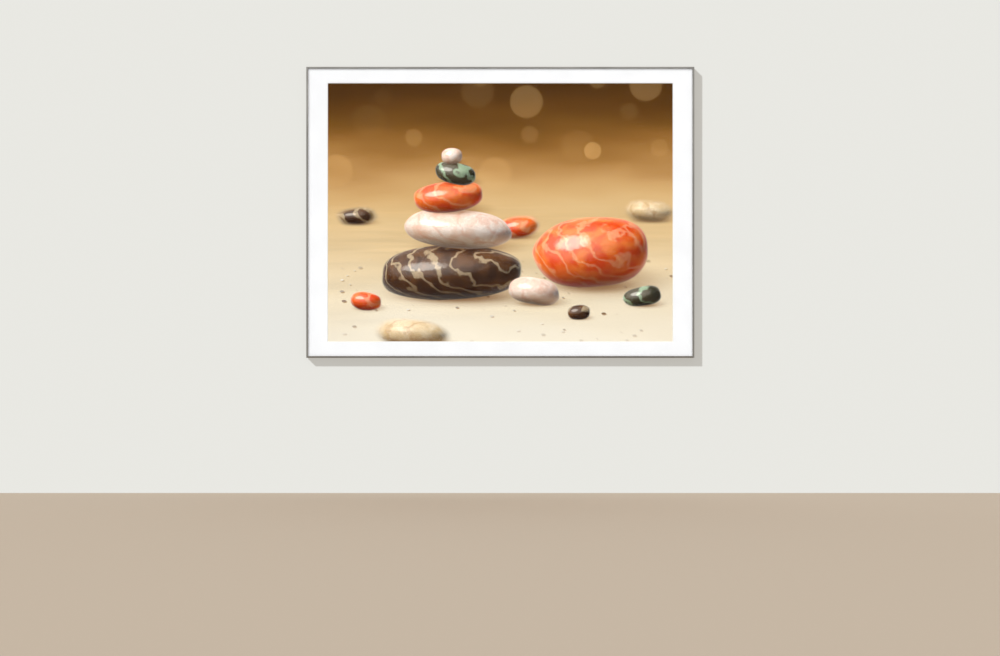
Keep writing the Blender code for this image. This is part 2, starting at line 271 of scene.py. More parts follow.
def linear(hex_colour):
    """An sRGB hex colour as linear RGBA."""
    channels = [int(hex_colour[k : k + 2], 16) / 255 for k in (1, 3, 5)]
    return (*[c / 12.92 if c <= 0.04045 else ((c + 0.055) / 1.055) ** 2.4 for c in channels], 1.0)


def is_socket(value):
    return isinstance(value, bpy.types.NodeSocket)


def set_inputs(node, inputs):
    """Sets or links a node's inputs.

    A hex colour is turned linear, a vector with a linked part is combined, and a list's items are linked.
    """
    for label, value in inputs.items():
        socket = node.inputs[label.replace("_", " ") if isinstance(label, str) else label]
        if isinstance(value, tuple) and any(map(is_socket, value)):
            value = add_node(node.id_data, "combine", *value)
        for item in value if isinstance(value, list) else [value]:
            if is_socket(item):
                node.id_data.links.new(item, socket)
            elif isinstance(item, str) and item.startswith("#"):
                socket.default_value = linear(item)
            else:
                socket.default_value = item


def add_node(tree, which, *values, **named):
    """Adds a node of a kind, with values for its inputs in order and by name.

    Gives the kind's output, or the node itself where several outputs are used.
    """
    node_type, order, out, settings = KINDS[which] if isinstance(which, str) else which
    node = tree.nodes.new(node_type)
    for name, value in settings.items():
        setattr(node, name, value)
    set_inputs(node, dict(zip(order, values)) | named)
    return node if out is None else node.outputs[out]


def new_tree(name, tree_type, result, **inputs):
    """A node group with one output, and with named inputs listed by the type of their sockets.

    Gives the tree, the function that adds nodes to it, and its inputs.
    """
    tree = bpy.data.node_groups.new(name, tree_type)
    for socket_type, labels in inputs.items():
        for label in labels:
            tree.interface.new_socket(label, in_out="INPUT", socket_type=f"NodeSocket{socket_type}")
    tree.interface.new_socket(result, in_out="OUTPUT", socket_type=f"NodeSocket{result}")
    add = partial(add_node, tree)
    return tree, add, add("group input").outputs


def new_object(name, mesh):
    obj = bpy.data.objects.new(name, mesh)
    bpy.context.scene.collection.objects.link(obj)
    return obj


# Stage


def make_camera():
    """Straight on, at the distance where the frame has the photograph's size, with no shift."""
    distance = METRES_PER_PIXEL * PHOTO_WIDTH * LENS / SENSOR
    data = bpy.data.cameras.new("camera")
    data.lens = LENS
    data.sensor_width = SENSOR
    data.clip_end = 100
    camera = new_object("camera", data)
    across = (PHOTO_WIDTH / 2 - PHOTO_FRAME_MIDDLE[0]) * METRES_PER_PIXEL
    down = (PHOTO_HEIGHT / 2 - PHOTO_FRAME_MIDDLE[1]) * METRES_PER_PIXEL
    camera.location = (across, FRONT - distance, MIDDLE_Z - down)
    camera.rotation_euler = (math.pi / 2, 0, 0)
    bpy.context.scene.camera = camera
    return camera


def stage_plane(name, corners, material):
    mesh = bpy.data.meshes.new(name)
    mesh.from_pydata(corners, [], [range(len(corners))])
    mesh.materials.append(material)
    plane = new_object(name, mesh)
    return plane


def wall_paint():
    """Matt white paint on a backdrop that is lit from behind as well, so that its tone stays even.

    Only its front is there, so that the frame's back shows in views from behind.
    """
    material, add = new_material("wall_paint")
    finish(
        material,
        Base_Color="#505252",
        Roughness=1.0,
        Specular_IOR_Level=0.0,
        Emission_Color="#B6B2AA",
        Emission_Strength=1.0,
    )
    painted = material.node_tree.nodes["Principled BSDF"].outputs[0]
    behind = add("geometry").outputs["Backfacing"]
    return show(material, add("mix shader", behind, painted, add("clear")))


def floor_paint():
    """A plain pale floor."""
    material, _ = new_material("floor_paint")
    return finish(material, Base_Color="#C0B19F", Roughness=1.0, Specular_IOR_Level=0.0)


def stage_sun(name, travel, strength, spread, lit=None):
    """A sun lamp whose light travels along a direction; its spread in degrees softens the shadows.

    It lights everything, or the one object given as lit.
    """
    data = bpy.data.lights.new(name, "SUN")
    data.energy = strength
    data.angle = math.radians(spread)
    lamp = new_object(name, data)
    lamp.rotation_euler = Vector(travel).to_track_quat("-Z", "Y").to_euler()
    if lit:
        receivers = bpy.data.collections.new(f"{name}_receivers")
        receivers.objects.link(lit)
        lamp.light_linking.receiver_collection = receivers


def make_stage(camera):
    """The wall behind the frame, the floor below it, and soft studio light with one clear key."""
    reach = STAGE_REACH
    below = (PHOTO_FLOOR_LINE - PHOTO_HEIGHT / 2) * METRES_PER_PIXEL
    floor_z = camera.location.z - below * (WALL_GAP - camera.location.y) / (FRONT - camera.location.y)
    wall_outline = ((-reach, floor_z), (reach, floor_z), (reach, reach), (-reach, reach))
    wall = stage_plane("stage_wall", [(x, WALL_GAP, z) for x, z in wall_outline], wall_paint())
    wall.visible_diffuse = False
    wall.visible_glossy = False
    wall.visible_transmission = False
    wall.visible_shadow = False
    floor_outline = ((-reach, -reach), (reach, -reach), (reach, reach), (-reach, reach))
    floor = stage_plane("stage_floor", [(x, y, floor_z) for x, y in floor_outline], floor_paint())
    # Its warm light would tint the white mat
    floor.visible_diffuse = False
    # One clear key from the upper left, stronger on the wall, and a soft fill on the front and the back
    stage_sun("key", KEY_TRAVEL, 0.8, 2.5)
    stage_sun("wall_key", KEY_TRAVEL, 17.2, 2.5, lit=wall)
    stage_sun("front_fill", (0, 1, -0.25), 1.8, 96)
    stage_sun("rear_fill", (-0.3, -1, -0.5), 1.8, 120)
    world = bpy.data.worlds.new("studio")
    world.use_nodes = True
    set_inputs(world.node_tree.nodes["Background"], {"Color": "#FFFFFF", "Strength": WORLD_STRENGTH})
    bpy.context.scene.world = world
    bpy.context.scene.view_settings.view_transform = "Standard"


# Materials


def new_material(name):
    """A material, and the function that adds nodes to its tree."""
    material = bpy.data.materials.new(name)
    material.use_nodes = True
    return material, partial(add_node, material.node_tree)


def finish(material, **inputs):
    """Sets or links the inputs of a material's Principled shader."""
    set_inputs(material.node_tree.nodes["Principled BSDF"], inputs)
    return material


def show(material, surface):
    """Gives a material the surface of a mixed shader."""
    set_inputs(material.node_tree.nodes["Material Output"], {"Surface": surface})
    return material


def worn_edges(add, patches):
    """How worn a spot is, from 0 to 1: high on sharp edges, in broken patches."""
    rounded = add("rounded normal", Radius=WORN_EDGE)
    along = add("dot product", rounded, add("geometry").outputs["Normal"])
    return add("multiply", add("range", along, 0.995, 0.90), patches)


def anodised_aluminium():
    """Extruded 6063 aluminium, etched and anodised in a warm pewter grey.

    The etch leaves a satin sheen, the die leaves fine straight lines along the rail, and the dye is
    rubbed thin on the sharp edges. The lines are drawn 0.5 mm apart; real ones are finer.
    """
    material, add = new_material("anodised_aluminium")
    place = add("place")
    lines = add("noise", add("mapping", add("rail run"), Scale=(3, 2000, 1)), Scale=1, Detail=3)
    cloud = add("noise", place, Scale=9, Detail=3)
    grit = add("noise", place, Scale=2600, Detail=1)
    dye = add("range", add("multiply add", lines, 0.9, cloud), 0.65, 1.25)
    colour = add("mix", dye, "#73716D", "#8D8B86")
    colour = add("mix", worn_edges(add, cloud), colour, "#BDBCB9")
    sheen = add("range", lines, 0.3, 0.7, 0.26, 0.40)
    relief = add("multiply add", lines, 1.5, grit)
    normal = add("bump", Height=relief, Strength=0.16, Distance=0.0001)
    return finish(material, Base_Color=colour, Metallic=1.0, Roughness=sheen, Normal=normal)


def coated_acrylic():
    """Cast acrylic sheet with an anti-reflective coating on both faces.

    It is all but invisible straight on and mirrors softly at a low angle. The coating brings the
    mirrored share down to that of an IOR of about 1.10, and wiping leaves faint dull streaks.
    """
    material, add = new_material("coated_acrylic")
    material.node_tree.nodes.remove(material.node_tree.nodes["Principled BSDF"])
    wipe_place = add("mapping", add("place"), Rotation=(0, 0.5, 0), Scale=(3, 3, 22))
    wipe = add("noise", wipe_place, Scale=1, Detail=4, Distortion=0.8)
    dull = add("range", wipe, 0.35, 0.75, 0.02, 0.09)
    clear = add("clear", Color="#FEFEFE")
    mirror = add("mirror", Color="#EEF3FF", Roughness=dull)
    # The light goes straight on, so both faces mirror alike, whichever side it comes from
    coating = 1.10
    inside = add("geometry").outputs["Backfacing"]
    index = add("range", inside, 0, 1, coating, 1 / coating)
    return show(material, add("mix shader", add("fresnel", IOR=index), clear, mirror))


def mat_face_paper():
    """The facing paper of a conservation mat board: smooth white rag paper.

    It has a faint tooth of pressed fibres and no shine. The fibres are drawn 0.7 mm wide; real ones are
    a tenth of that.
    """
    material, add = new_material("mat_face_paper")
    place = add("place")
    tooth = add("noise", place, Scale=1400, Detail=3, Roughness=0.6)
    sheet = add("noise", place, Scale=14, Detail=3)
    shade = add("range", add("multiply add", tooth, 0.6, sheet), 0.55, 1.05)
    colour = add("mix", shade, "#F7F7F7", "#FDFDFD")
    normal = add("bump", Height=tooth, Strength=0.25, Distance=0.0002)
    return finish(material, Base_Color=colour, Roughness=0.9, Specular_IOR_Level=0.2, Normal=normal)


def mat_core():
    """The core of the mat board, shown by the 45 degree cut: bright, with the blade's fine drag lines."""
    material, add = new_material("mat_core")
    drag = add("noise", add("place"), Scale=900, Detail=2)
    colour = add("mix", drag, "#F1EFE9", "#FCFBF8")
    normal = add("bump", Height=drag, Strength=0.3, Distance=0.0001)
    return finish(material, Base_Color=colour, Roughness=0.95, Specular_IOR_Level=0.1, Normal=normal)


def hardboard():
    """Wet-process hardboard, pressed on a wire screen: brown wood fibre with the screen's woven mark.

    Fibre bundles lie every way, some dark with bark and some pale, and the board is cloudy where the pulp
    settled. The screen's mark is drawn 4.5 mm apart; the real wires are 1.5 mm apart.
    """
    material, add = new_material("hardboard")
    place = add("place")
    cloud = add("noise", place, Scale=11, Detail=6, Roughness=0.7)
    fibre_place = add("mapping", place, Rotation=(0, 0.6, 0), Scale=(1, 1, 0.3))
    fibres = add("noise", fibre_place, Scale=620, Detail=4, Roughness=0.65, Distortion=2.5)
    cross_place = add("mapping", place, Rotation=(0, -0.9, 0), Scale=(1, 1, 0.25))
    crossing = add("noise", cross_place, Scale=430, Detail=3, Distortion=3.0)
    shade = add("range", add("multiply add", cloud, 0.55, fibres), 0.50, 1.05)
    colour = add("mix", shade, "#6A4D34", "#9A7853")
    colour = add("mix", add("range", crossing, 0.60, 0.72, 0.0, 0.75), colour, "#B4956F")
    colour = add("mix", add("range", crossing, 0.38, 0.28, 0.0, 0.7), colour, "#3F2B1C")
    parts = add("separate", place).outputs
    waves_per_metre = 2 * math.pi / SCREEN_PITCH
    across, upward = [add("sine", add("multiply", parts[axis], waves_per_metre)) for axis in "XZ"]
    relief = add("multiply add", add("multiply", across, upward), 0.7, fibres)
    normal = add("bump", Height=relief, Strength=0.7, Distance=0.0005)
    rough = add("range", fibres, 0.3, 0.7, 0.72, 0.92)
    return finish(material, Base_Color=colour, Roughness=rough, Specular_IOR_Level=0.35, Normal=normal)


def spring_steel():
    """Cold-rolled spring steel strip: a blue-grey satin with rolling lines along each strip."""
    material, add = new_material("spring_steel")
    lines = add("noise", add("mapping", add("strip run"), Scale=(25, 1500, 1)), Scale=1, Detail=3)
    cloud = add("noise", add("place"), Scale=70, Detail=3)
    shade = add("range", add("multiply add", lines, 0.6, cloud), 0.5, 1.1)
    colour = add("mix", shade, "#8D9094", "#BFC1C3")
    sheen = add("range", lines, 0.3, 0.7, 0.26, 0.44)
    normal = add("bump", Height=lines, Strength=0.15, Distance=0.0001)
    return finish(material, Base_Color=colour, Metallic=1.0, Roughness=sheen, Normal=normal)


def zinc_plated_steel():
    """Stamped mild steel, electroplated with zinc and clear passivated.

    The plating is a soft bright grey with faint blue and straw clouds a few millimetres across, dull in
    the hollows and rubbed bright on the stamped edges.
    """
    material, add = new_material("zinc_plated_steel")
    place = add("place")
    cloud = add("noise", place, Scale=220, Detail=4, Distortion=0.2)
    film = add("noise", place, Scale=90, Detail=2)
    grain = add("noise", place, Scale=2200, Detail=2)
    colour = add("mix", add("range", cloud, 0.35, 0.65), "#B9BBBC", "#CFD0CE")
    colour = add("mix", add("range", film, 0.50, 0.75, 0.0, 0.25), colour, "#CFC49F")
    colour = add("mix", worn_edges(add, cloud), colour, "#EDEDEB")
    sheen = add("range", cloud, 0.3, 0.7, 0.24, 0.42)
    normal = add("bump", Height=grain, Strength=0.12, Distance=0.0001)
    return finish(material, Base_Color=colour, Metallic=1.0, Roughness=sheen, Normal=normal)


def wool_felt():
    """Pressed wool felt: grey fibres matted every way, soft, with a pale fuzz at its edge."""
    material, add = new_material("wool_felt")
    fibres = add("noise", add("place"), Scale=1500, Detail=4, Roughness=0.7, Distortion=2.0)
    colour = add("mix", add("range", fibres, 0.3, 0.7), "#434446", "#8A8B8C")
    normal = add("bump", Height=fibres, Strength=0.8, Distance=0.0003)
    finish(material, Base_Color=colour, Roughness=1.0, Specular_IOR_Level=0.2, Normal=normal)
    return finish(material, Sheen_Weight=0.5, Sheen_Roughness=0.5)


# The picture: smooth stones stacked on a beach, close up, with a dark, blurred shore behind them


def stone_tree():
    """One polished stone, lit from the upper left, painted over what is under it.

    Spot is a place on the picture. The stone is an ellipsoid with a wavy outline; its colours follow its
    own round surface. Blur is how soft its outline is, as a share of its size.
    """
    tree, add, given = new_tree(
        "stone",
        "ShaderNodeTree",
        "Color",
        Color=("Under", "Body", "Second", "Vein"),
        Vector=("Spot", "Centre", "Size", "Turn", "Seed"),
        Float=("Vein Share", "Gloss", "Glow", "Blur", "Shadow"),
    )
    size = given["Size"]
    flat = add("within", given["Spot"], Location=given["Centre"], Rotation=given["Turn"], Scale=size)
    bulge = add("noise", add("vector add", flat, given["Seed"]), Scale=0.55, Detail=1)
    wavy = add("scale", flat, add("range", bulge, 0, 1, 1.22, 0.78))
    parts = add("separate", wavy).outputs
    # A sea-worn pebble is a little fuller than an ellipse
    fullness = 2.35
    side, height = [add("power", add("absolute", parts[axis]), fullness) for axis in "XY"]
    filled = add("add", side, height)
    radius = add("power", filled, 1 / fullness)
    rise = add("sqrt", add("clamped subtract", 1.0, filled))
    round_place = add("combine", parts["X"], parts["Y"], rise)
    outward = add("vector normalize", add("vector divide", round_place, size))
    outward = add("turned", outward, Angle=add("separate", given["Turn"]).outputs["Z"])
    # The stone's own surface in metres, for its pits, grain and veins
    surface = add("vector multiply add", round_place, size, given["Seed"])
    pits = add("noise colour", surface, Scale=110, Detail=4, Roughness=0.6)
    pits = add("scale", add("vector subtract", pits, (0.5, 0.5, 0.5)), 0.22)
    normal = add("vector normalize", add("vector add", outward, pits))
    # Its colours
    patches = add("noise", surface, Scale=22, Detail=5, Distortion=0.8)
    body = add("mix", add("range", patches, 0.38, 0.62), given["Body"], given["Second"])
    veins = add("waves", surface, Scale=9, Distortion=7, Detail=3, Detail_Scale=2.0)
    vein = add("multiply", add("range", veins, 0.80, 0.97), given["Vein Share"])
    body = add("mix", vein, body, given["Vein"])
    grains = add("noise", surface, Scale=420, Detail=2)
    body = add("scale", body, add("range", grains, 0.25, 0.75, 0.82, 1.16))
    # Its light: a key from the upper left, the sky from above and the sand's warm light from below
    to_key = Vector((-0.52, 0.70, 0.49)).normalized()
    to_shine = (to_key + Vector((0, 0, 1))).normalized()
    facing = add("separate", normal).outputs
    lit = add("smooth range", add("dot product", normal, to_key), -0.25, 1.0)
    sky = add("range", facing["Y"], -1.0, 1.0)
    ground = add("range", facing["Y"], 0.1, -0.9)
    light = add("scale", (1.02, 0.95, 0.84), lit)
    others = (((0.24, 0.24, 0.25), sky), ((0.36, 0.27, 0.17), ground), ((1, 1, 1), given["Glow"]))
    for colour, share in others:
        light = add("vector add", light, add("scale", colour, share))
    low = add("smooth range", parts["Y"], -1.0, -0.35, 0.30, 1.0)
    painted = add("vector multiply", body, add("scale", light, low))
    # Its shine: a window's soft spot, and the bright shore mirrored at its rim
    shine = add("dot product", normal, to_shine)
    halo = add("smooth range", shine, 0.70, 1.0, 0.0, 0.16)
    bright = add("multiply add", add("smooth range", shine, 0.955, 0.992), 0.62, halo)
    rim = add("multiply", add("smooth range", facing["Z"], 0.55, 0.0, 0.0, 0.30), low)
    bright = add("multiply", add("add", bright, rim), given["Gloss"])
    painted = add("vector add", painted, add("scale", (1.0, 0.96, 0.88), bright))
    # The shadow that it throws on what is under it: a wide soft one to the lower right, and a dark core
    under = given["Under"]
    shadows = (((0.22, -0.78, 0), (1.16, 0.50, 1), 0.85), ((0.05, -0.90, 0), (0.80, 0.22, 1), 1.0))
    for shift, spread, darkness in shadows:
        drop = add("vector multiply add", size, shift, given["Centre"])
        pool = add("vector multiply", size, spread)
        away = add("length", add("within", given["Spot"], Location=drop, Scale=pool))
        dark = add("multiply", add("smooth range", away, 1.2, 0.3, 0.0, darkness), given["Shadow"])
        under = add("mix", dark, under, add("vector multiply", under, (0.40, 0.25, 0.13)))
    edge_in = add("subtract", 1.0, given["Blur"])
    edge_out = add("add", 1.0, given["Blur"])
    cover = add("smooth range", radius, edge_out, edge_in)
    add("group output", add("mix", cover, under, painted))
    return tree


STONE_LABELS = ("Body", "Second", "Vein", "Vein Share", "Gloss")
STONE_KINDS = {
    "umber": ("#4A3020", "#6E4A2E", "#D9C6A4", 0.55, 0.55),
    "carnelian": ("#E8501A", "#F98236", "#FFD0A0", 0.35, 0.75),
    "quartz": ("#F0D3C3", "#FBEFE9", "#E2A78C", 0.35, 0.60),
    "jade": ("#3C3A2C", "#5B5440", "#AAC8AA", 0.80, 0.70),
    "cream": ("#DDC49A", "#EFDFC2", "#B98A58", 0.35, 0.25),
}
# Stones, back to front: centre and half size on the picture in metres, turn in degrees, blur and shadow
STONES = (
    ("umber", (-0.375, -0.010), (0.046, 0.021), 4, 0.32, 0.5),
    ("cream", (0.392, 0.002), (0.060, 0.026), -5, 0.30, 0.5),
    ("carnelian", (0.050, -0.040), (0.050, 0.028), 8, 0.24, 0.5),
    ("carnelian", (0.238, -0.108), (0.148, 0.094), 7, 0.020, 0.75),
    ("umber", (-0.128, -0.158), (0.188, 0.072), 2, 0.016, 0.8),
    ("quartz", (-0.108, -0.046), (0.137, 0.053), -5, 0.018, 0.7),
    ("carnelian", (-0.138, 0.040), (0.088, 0.041), 6, 0.022, 0.65),
    ("jade", (-0.118, 0.102), (0.052, 0.028), -9, 0.030, 0.6),
    ("quartz", (-0.126, 0.147), (0.027, 0.021), 5, 0.045, 0.5),
    ("quartz", (0.092, -0.207), (0.066, 0.036), -9, 0.030, 0.7),
    ("jade", (0.372, -0.220), (0.048, 0.026), 8, 0.045, 0.7),
    ("carnelian", (-0.352, -0.232), (0.040, 0.023), -6, 0.060, 0.7),
    ("umber", (0.205, -0.262), (0.031, 0.018), 5, 0.080, 0.7),
    ("cream", (-0.225, -0.318), (0.085, 0.036), -4, 0.200, 0.5),
)
# From the sand at the picture's foot to the dark shore at its top
BEACH_COLOURS = (
    (0.00, "#FBF1DC"),
    (0.16, "#F5E4C3"),
    (0.34, "#E6CA9B"),
    (0.50, "#E3C087"),
    (0.62, "#D2A468"),
    (0.72, "#A4712F"),
    (0.84, "#6A420A"),
    (1.00, "#432501"),
)


def beach(add, spot):
    """The sand and the blurred shore behind it, from a cream foreground up to dark brown."""
    parts = add("separate", spot).outputs
    height = parts["Y"]
    level = add("range", height, -PICTURE_HEIGHT / 2, PICTURE_HEIGHT / 2)
    haze = add("noise", add("mapping", spot, Scale=(1.4, 5.0, 1)), Scale=1.6, Detail=2)
    level = add("add", level, add("range", haze, 0.25, 0.75, -0.055, 0.055))
    ramp = add("ramp", level)
    ramp.color_ramp.interpolation = "B_SPLINE"
    while len(ramp.color_ramp.elements) < len(BEACH_COLOURS):
        ramp.color_ramp.elements.new(0.5)
    for element, (position, colour) in zip(ramp.color_ramp.elements, BEACH_COLOURS):
        element.position = position
        element.color = linear(colour)
    shore = ramp.outputs["Color"]
    # Out-of-focus lights among the dark shore: large faint discs and smaller ones
    band = add("smooth range", height, 0.02, 0.17)
    for per_metre, radius, strongest in ((5.2, 0.24, 0.13), (8.7, 0.21, 0.20)):
        scattered = add("mapping", spot, Rotation=(0, 0, per_metre))
        discs = add("cells", scattered, Scale=per_metre, Randomness=0.5).outputs
        disc = add("smooth range", discs["Distance"], radius, radius * 0.86)
        chance = add("separate colour", discs["Color"]).outputs[0]
        glint = add("multiply", disc, add("range", chance, 0.45, 1.0, 0.0, strongest))
        glint = add("scale", (0.95, 0.60, 0.24), add("multiply", glint, band))
        shore = add("vector add", shore, glint)
    # The sand lies away from the eye: its ripples close up towards the horizon
    away = add("divide", 0.10, add("maximum", add("subtract", 0.10, height), 0.03))
    ground = (add("multiply", parts["X"], away), away, 0)
    ripple_place = add("mapping", ground, Scale=(2.6, 9.0, 1))
    ripples = add("noise", ripple_place, Scale=1.5, Detail=3, Distortion=0.6)
    ripple = add("range", ripples, 0.3, 0.7, 0.90, 1.07)
    # Its grains show where it is sharp, in a band across the foreground
    grains = add("noise", spot, Scale=330, Detail=3, Roughness=0.7)
    near = add("range", height, -0.34, -0.25, 0.3, 1.0)
    sharp = add("multiply", add("smooth range", height, -0.08, -0.20), near)
    grain = add("multiply add", add("range", grains, 0.3, 0.7, -0.16, 0.12), sharp, 1.0)
    sand = add("scale", shore, add("multiply", grain, ripple))
    # Broken shell and grit lie here and there in the sharp band, each bit with a small shadow
    scatter = {"Rotation": (0, 0, 0.6), "Scale": (30, 62, 1)}
    bit_place = add("mapping", spot, **scatter)
    dark_place = add("mapping", spot, **scatter, Location=(-0.14, 0.08, 0))
    for place, is_shadow in ((dark_place, True), (bit_place, False)):
        bits = add("cells", place, Scale=1, Randomness=1.0).outputs
        chances = add("separate colour", bits["Color"]).outputs
        rare = add("range", chances[0], 0.70, 1.0, 0.0, 0.22)
        bit = add("range", add("subtract", rare, bits["Distance"]), 0.0, 0.05)
        if is_shadow:
            shade = add("vector multiply", sand, (0.60, 0.48, 0.36))
        else:
            shade = add("mix", chances[1], "#7A5532", "#FFF6E6")
        sand = add("mix", add("multiply", bit, sharp), sand, shade)
    return add("mix", add("smooth range", height, 0.08, -0.10), shore, sand)


def pigment_print():
    """A matt pigment print on coated cotton paper: a photograph-like picture with a bare white margin."""
    material, add = new_material("pigment_print")
    place = add("place")
    parts = add("separate", add("vector subtract", place, (0, 0, MIDDLE_Z))).outputs
    spot = add("combine", parts["X"], parts["Z"])
    painted = beach(add, spot)
    stone = kind("ShaderNodeGroup", node_tree=stone_tree())
    for number, (name, centre, size, turn, blur, shadow) in enumerate(STONES):
        painted = add(
            stone,
            **dict(zip(STONE_LABELS, STONE_KINDS[name])),
            Under=painted,
            Spot=spot,
            Centre=(*centre, 0),
            Size=(*size, (size[0] + size[1]) / 2),
            Turn=(0, 0, math.radians(turn)),
            Seed=(3.7 * number, 1.9 * number, 0.6 * number),
            Glow=0.10 if name == "carnelian" else 0.05,
            Blur=blur,
            Shadow=shadow,
        )
    # Bare paper round the picture, hidden by the mat, and on the sheet's edges and back
    offset = add("separate", add("vector absolute", spot)).outputs
    past_side = add("greater than", offset["X"], PICTURE_WIDTH / 2 + PRINT_BLEED)
    past_top = add("greater than", offset["Y"], PICTURE_HEIGHT / 2 + PRINT_BLEED)
    colour = add("mix", add("maximum", past_side, past_top), painted, "#F4F3EF")
    tooth = add("noise", place, Scale=1800, Detail=2)
    normal = add("bump", Height=tooth, Strength=0.08, Distance=0.0001)
    return finish(material, Base_Color=colour, Roughness=0.55, Specular_IOR_Level=0.04, Normal=normal)


# Pieces


def smoothed(mesh):
    mesh.shade_smooth()
    mesh.set_sharp_from_angle(angle=SHARP_ANGLE)
    return mesh


def geometry_tree(build, sizes):
    """A geometry tree with a named input for each size; build adds its nodes and gives its geometry.

    It ends with the instances made real and the material set.
    """
    tree, add, given = new_tree(
        build.__name__,
        "GeometryNodeTree",
        "Geometry",
        Geometry=("Geometry",),
        Float=[label for label, size in sizes.items() if isinstance(size, float)],
        Int=[label for label, size in sizes.items() if isinstance(size, int)],
        Material=("Material",),
    )
    real = add("realize", build(add, given))
    add("group output", add("set material", real, Material=given["Material"]))
    return tree


def grow(obj, build, sizes, material, edge=0.0):
    """Runs a geometry tree on an object, rounds its edges if asked, and keeps the result as a plain mesh."""
    tree = bpy.data.node_groups.get(build.__name__) or geometry_tree(build, sizes)
    given = sizes | {"Material": material}
    modifier = obj.modifiers.new(tree.name, "NODES")
    modifier.node_group = tree
    for item in tree.interface.items_tree:
        if item.name in given:
            modifier[item.identifier] = given[item.name]
    if edge:
        bevel = obj.modifiers.new("edges", "BEVEL")
        bevel.width = edge
        bevel.segments = 2
        bevel.limit_method = "ANGLE"
        bevel.angle_limit = ROUNDED_ANGLE
        bevel.use_clamp_overlap = True
    graph = bpy.context.evaluated_depsgraph_get()
    grown = obj.evaluated_get(graph)
    mesh = bpy.data.meshes.new_from_object(grown, preserve_all_data_layers=True, depsgraph=graph)
    obj.modifiers.clear()
    obj.data = smoothed(mesh)
    return obj


def fit(obj, slot, *nodes):
    """The piece rides on the frame and stands for its CAD nodes. Its slot is not used."""
    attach(obj, "root")
    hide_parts(*nodes)


def grow_at(places, name, slot, build, sizes, material, edge=0.0):
    """Grows a piece at each place, given as a point, a turn about Y and the CAD node that it stands for."""
    points, turns, nodes = zip(*places)
    mesh = bpy.data.meshes.new(name)
    mesh.from_pydata(points, [], [])
    mesh.attributes.new("turn", "FLOAT", "POINT").data.foreach_set("value", turns)
    fit(grow(new_object(name, mesh), build, sizes, material, edge), slot, *nodes)


def on_points(add, given, piece):
    """The piece on each given point, turned about Y by the point's own turn."""
    turn = add("named number", "turn")
    return add("instances", given["Geometry"], piece, Rotation=(0, turn, 0))


def mitred_rail(add, given):
    """A mitred rail: the section's outline, its corners rounded, swept along a rail of a given length.

    Each point of the section is moved along the rail by its inset, which cuts both ends at 45 degrees.
    """
    corner = add("named number", "round")
    outline = add("fillet", add("outline", given["Geometry"]), Radius=corner, Limit_Radius=True, Count=4)
    held = add("capture", outline)
    held.capture_items.new("VECTOR", "section")
    held.capture_items.new("FLOAT", "around")
    set_inputs(held, {"section": add("position"), "around": add("spline").outputs["Length"]})
    path = add("capture", add("line", Start=(0, 0, 0), End=(1, 0, 0)))
    path.capture_items.new("FLOAT", "end")
    set_inputs(path, {"end": add("spline").outputs["Factor"]})
    swept = add("sweep", path.outputs[0], held.outputs[0], Fill_Caps=True)
    section = add("separate", held.outputs["section"]).outputs
    inset, depth = section["X"], section["Y"]
    half = add("subtract", add("multiply", given["Rail Length"], 0.5), inset)
    half = add("subtract", half, given["Joint Gap"])
    along = add("multiply", half, add("range", path.outputs["end"], 0, 1, -1.0, 1.0))
    upward = add("multiply add", given["Size Across"], -0.5, inset)
    rail = add("set position", swept, Position=(along, depth, upward))
    run = (along, held.outputs["around"], 0)
    rail = add("store vector", rail, Name="rail_run", Value=run)
    turn = (0, given["Turn"], 0)
    rise = (0, 0, given["Middle Height"])
    return add("transform", rail, Translation=rise, Rotation=turn)


def section_corners():
    """The corners of the rail's section as (inset, y, round), once round."""
    slot_start = CHANNEL_MIDDLE - SLOT_WIDTH / 2
    slot_end = CHANNEL_MIDDLE + SLOT_WIDTH / 2
    inner_wall = CHANNEL_REACH - WALL
    channel_front = CHANNEL_FLOOR - WEB
    return (
        (0, FRONT, OUTER_ROUND),
        (FACE, FRONT, LIP_ROUND),
        (FACE, FRONT + LIP, DIE_ROUND),
        (WALL, FRONT + LIP, DIE_ROUND),
        (WALL, channel_front, DIE_ROUND),
        (CHANNEL_REACH, channel_front, DIE_ROUND),
        (CHANNEL_REACH, BACK, BACK_ROUND),
        (slot_end, BACK, DIE_ROUND),
        (slot_end, BACK - WEB, DIE_ROUND),
        (inner_wall, BACK - WEB, DIE_ROUND),
        (inner_wall, CHANNEL_FLOOR, DIE_ROUND),
        (WALL, CHANNEL_FLOOR, DIE_ROUND),
        (WALL, BACK - WEB, DIE_ROUND),
        (slot_start, BACK - WEB, DIE_ROUND),
        (slot_start, BACK, DIE_ROUND),
        (0, BACK, BACK_ROUND),
    )


def make_rails(material):
    corners = section_corners()
    points = [(inset, y, 0) for inset, y, _ in corners]
    rounds = [corner_round for *_, corner_round in corners]
    loop = [(k, (k + 1) % len(corners)) for k in range(len(corners))]
    for side, length, across, turn in SIDES:
        section = bpy.data.meshes.new(f"frame_rail_{side}")
        section.from_pydata(points, loop, [])
        section.attributes.new("round", "FLOAT", "POINT").data.foreach_set("value", rounds)
        sizes = {
            "Rail Length": length,
            "Size Across": across,
            "Joint Gap": JOINT_GAP,
            "Turn": turn,
            "Middle Height": MIDDLE_Z,
        }
        rail = grow(new_object(section.name, section), mitred_rail, sizes, material)
        fit(rail, "anodised_aluminium", f"rail_{side}")


